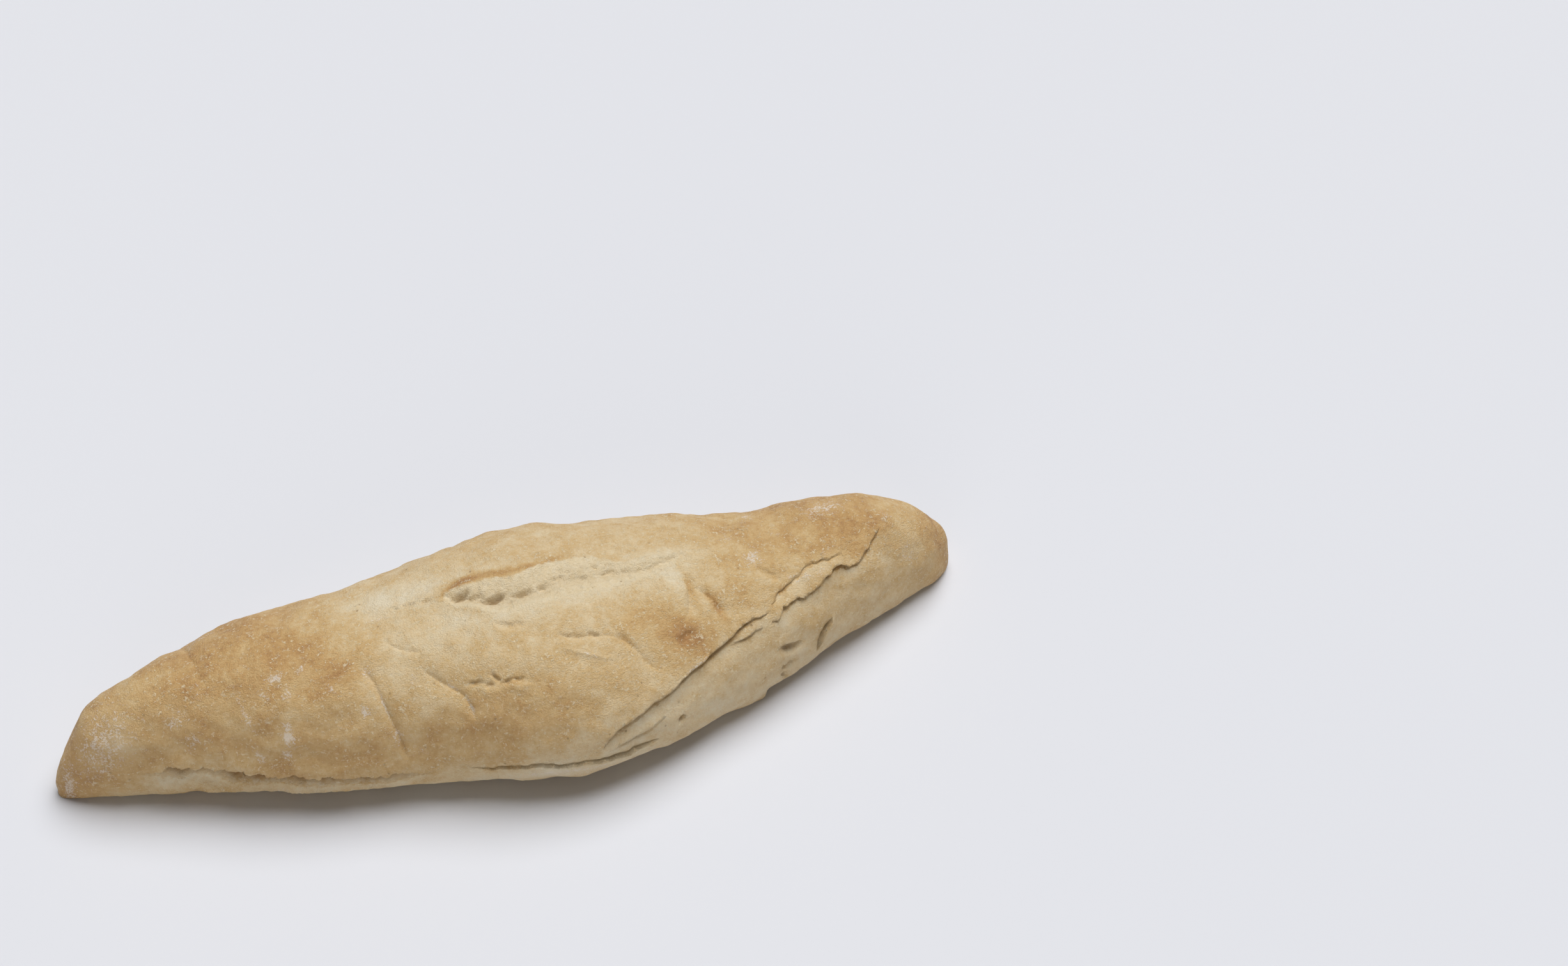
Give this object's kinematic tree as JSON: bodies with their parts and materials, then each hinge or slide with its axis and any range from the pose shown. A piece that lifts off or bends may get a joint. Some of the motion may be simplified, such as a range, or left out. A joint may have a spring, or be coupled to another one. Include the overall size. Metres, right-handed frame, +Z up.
{
  "type": "sandwich baguette",
  "caption": "Short baked baguette loaf with a blunt and a pointed end, a shallow burst score on its crown and torn seams along its side, lying on its flat sole.",
  "frame": {"origin": "on the floor, under the middle of the loaf's box", "axes": "+X along the loaf towards its blunt, browner right end as seen from its burst side; +Y towards its plain side; +Z up"},
  "size_m": [0.2792, 0.0852, 0.0488],
  "materials": {
    "crust": null
  },
  "bodies": {
    "root": {"baguette_loaf": "crust"}
  },
  "joints": []
}
